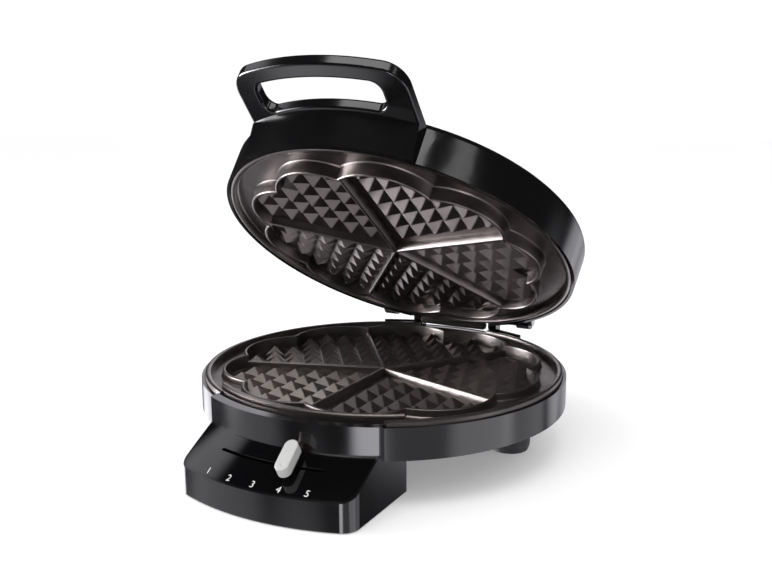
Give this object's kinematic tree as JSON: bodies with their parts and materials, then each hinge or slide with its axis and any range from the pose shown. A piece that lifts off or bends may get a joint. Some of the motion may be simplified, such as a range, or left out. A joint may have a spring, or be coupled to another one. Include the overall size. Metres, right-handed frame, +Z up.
{
  "type": "waffle maker",
  "caption": "Round electric heart waffle maker with its hinged lid open: cast cooking plates, loop handle, and a front console with a heat slider.",
  "frame": {"origin": "centre of the whole object's bounding box at floor level, with the lid open as shown; the round plates' vertical axis stands at y = +9.89 mm", "axes": "+Z up; -Y towards the user (handle and console), +Y towards the hinge; +X to the user's right"},
  "size_m": [0.2416, 0.2822, 0.2454],
  "materials": {
    "housing_plastic": "satin to gloss black moulding",
    "panel_gloss": "polished black",
    "matte_black": "fine matte black",
    "rubber_black": "matte",
    "nonstick_cast": "dark bronze non-stick coating with fine sparkle",
    "knob_grey": "satin light grey",
    "steel": "plain",
    "reflector_metal": "bright rolled sheet",
    "heater_steel": "heat-tinted",
    "ceramic": "off-white",
    "wire_insulation": "matte",
    "lens_smoked": "dark smoked, nearly black until the lamp is lit",
    "lamp_glass": "clear",
    "brass": "plain"
  },
  "bodies": {
    "base": {"base_housing": "housing_plastic", "console_panel": "panel_gloss", "console_floor": "matte_black", "bottom_cover": "matte_black", "front_pads": "rubber_black", "rear_pads": "rubber_black", "lower_plate": "nonstick_cast", "lower_element": "heater_steel", "lower_reflector": "reflector_metal", "lower_plate_screws": "steel", "cover_screws": "steel", "thermostat": "ceramic", "thermal_fuse": "ceramic", "terminal_block": "ceramic", "base_wiring": "wire_insulation", "cord_inlet": "rubber_black", "indicator_lens": "lens_smoked", "pilot_lamp": "lamp_glass", "hinge_pins": "steel"},
    "lid": {"lid_shell": "housing_plastic", "lid_handle": "housing_plastic", "handle_screws": "steel", "upper_plate": "nonstick_cast", "upper_element": "heater_steel", "upper_reflector": "reflector_metal", "upper_plate_screws": "steel", "upper_leads": "wire_insulation"},
    "slider": {"slider_knob": "knob_grey", "slider_carriage": "matte_black", "slider_arm": "steel", "thermostat_spindle": "brass"}
  },
  "joints": [
    {"name": "lid_hinge", "type": "hinge", "parent": "base", "child": "lid", "pos_m": [0, 0.12819, 0.0596], "axis": [-1, 0, 0], "range_deg": [-36.8, 63]},
    {"name": "heat_slider", "type": "hinge", "parent": "base", "child": "slider", "pos_m": [0, 0.00989, 0.026], "axis": [0, 0, 1], "range_deg": [-19.7, 6]}
  ]
}
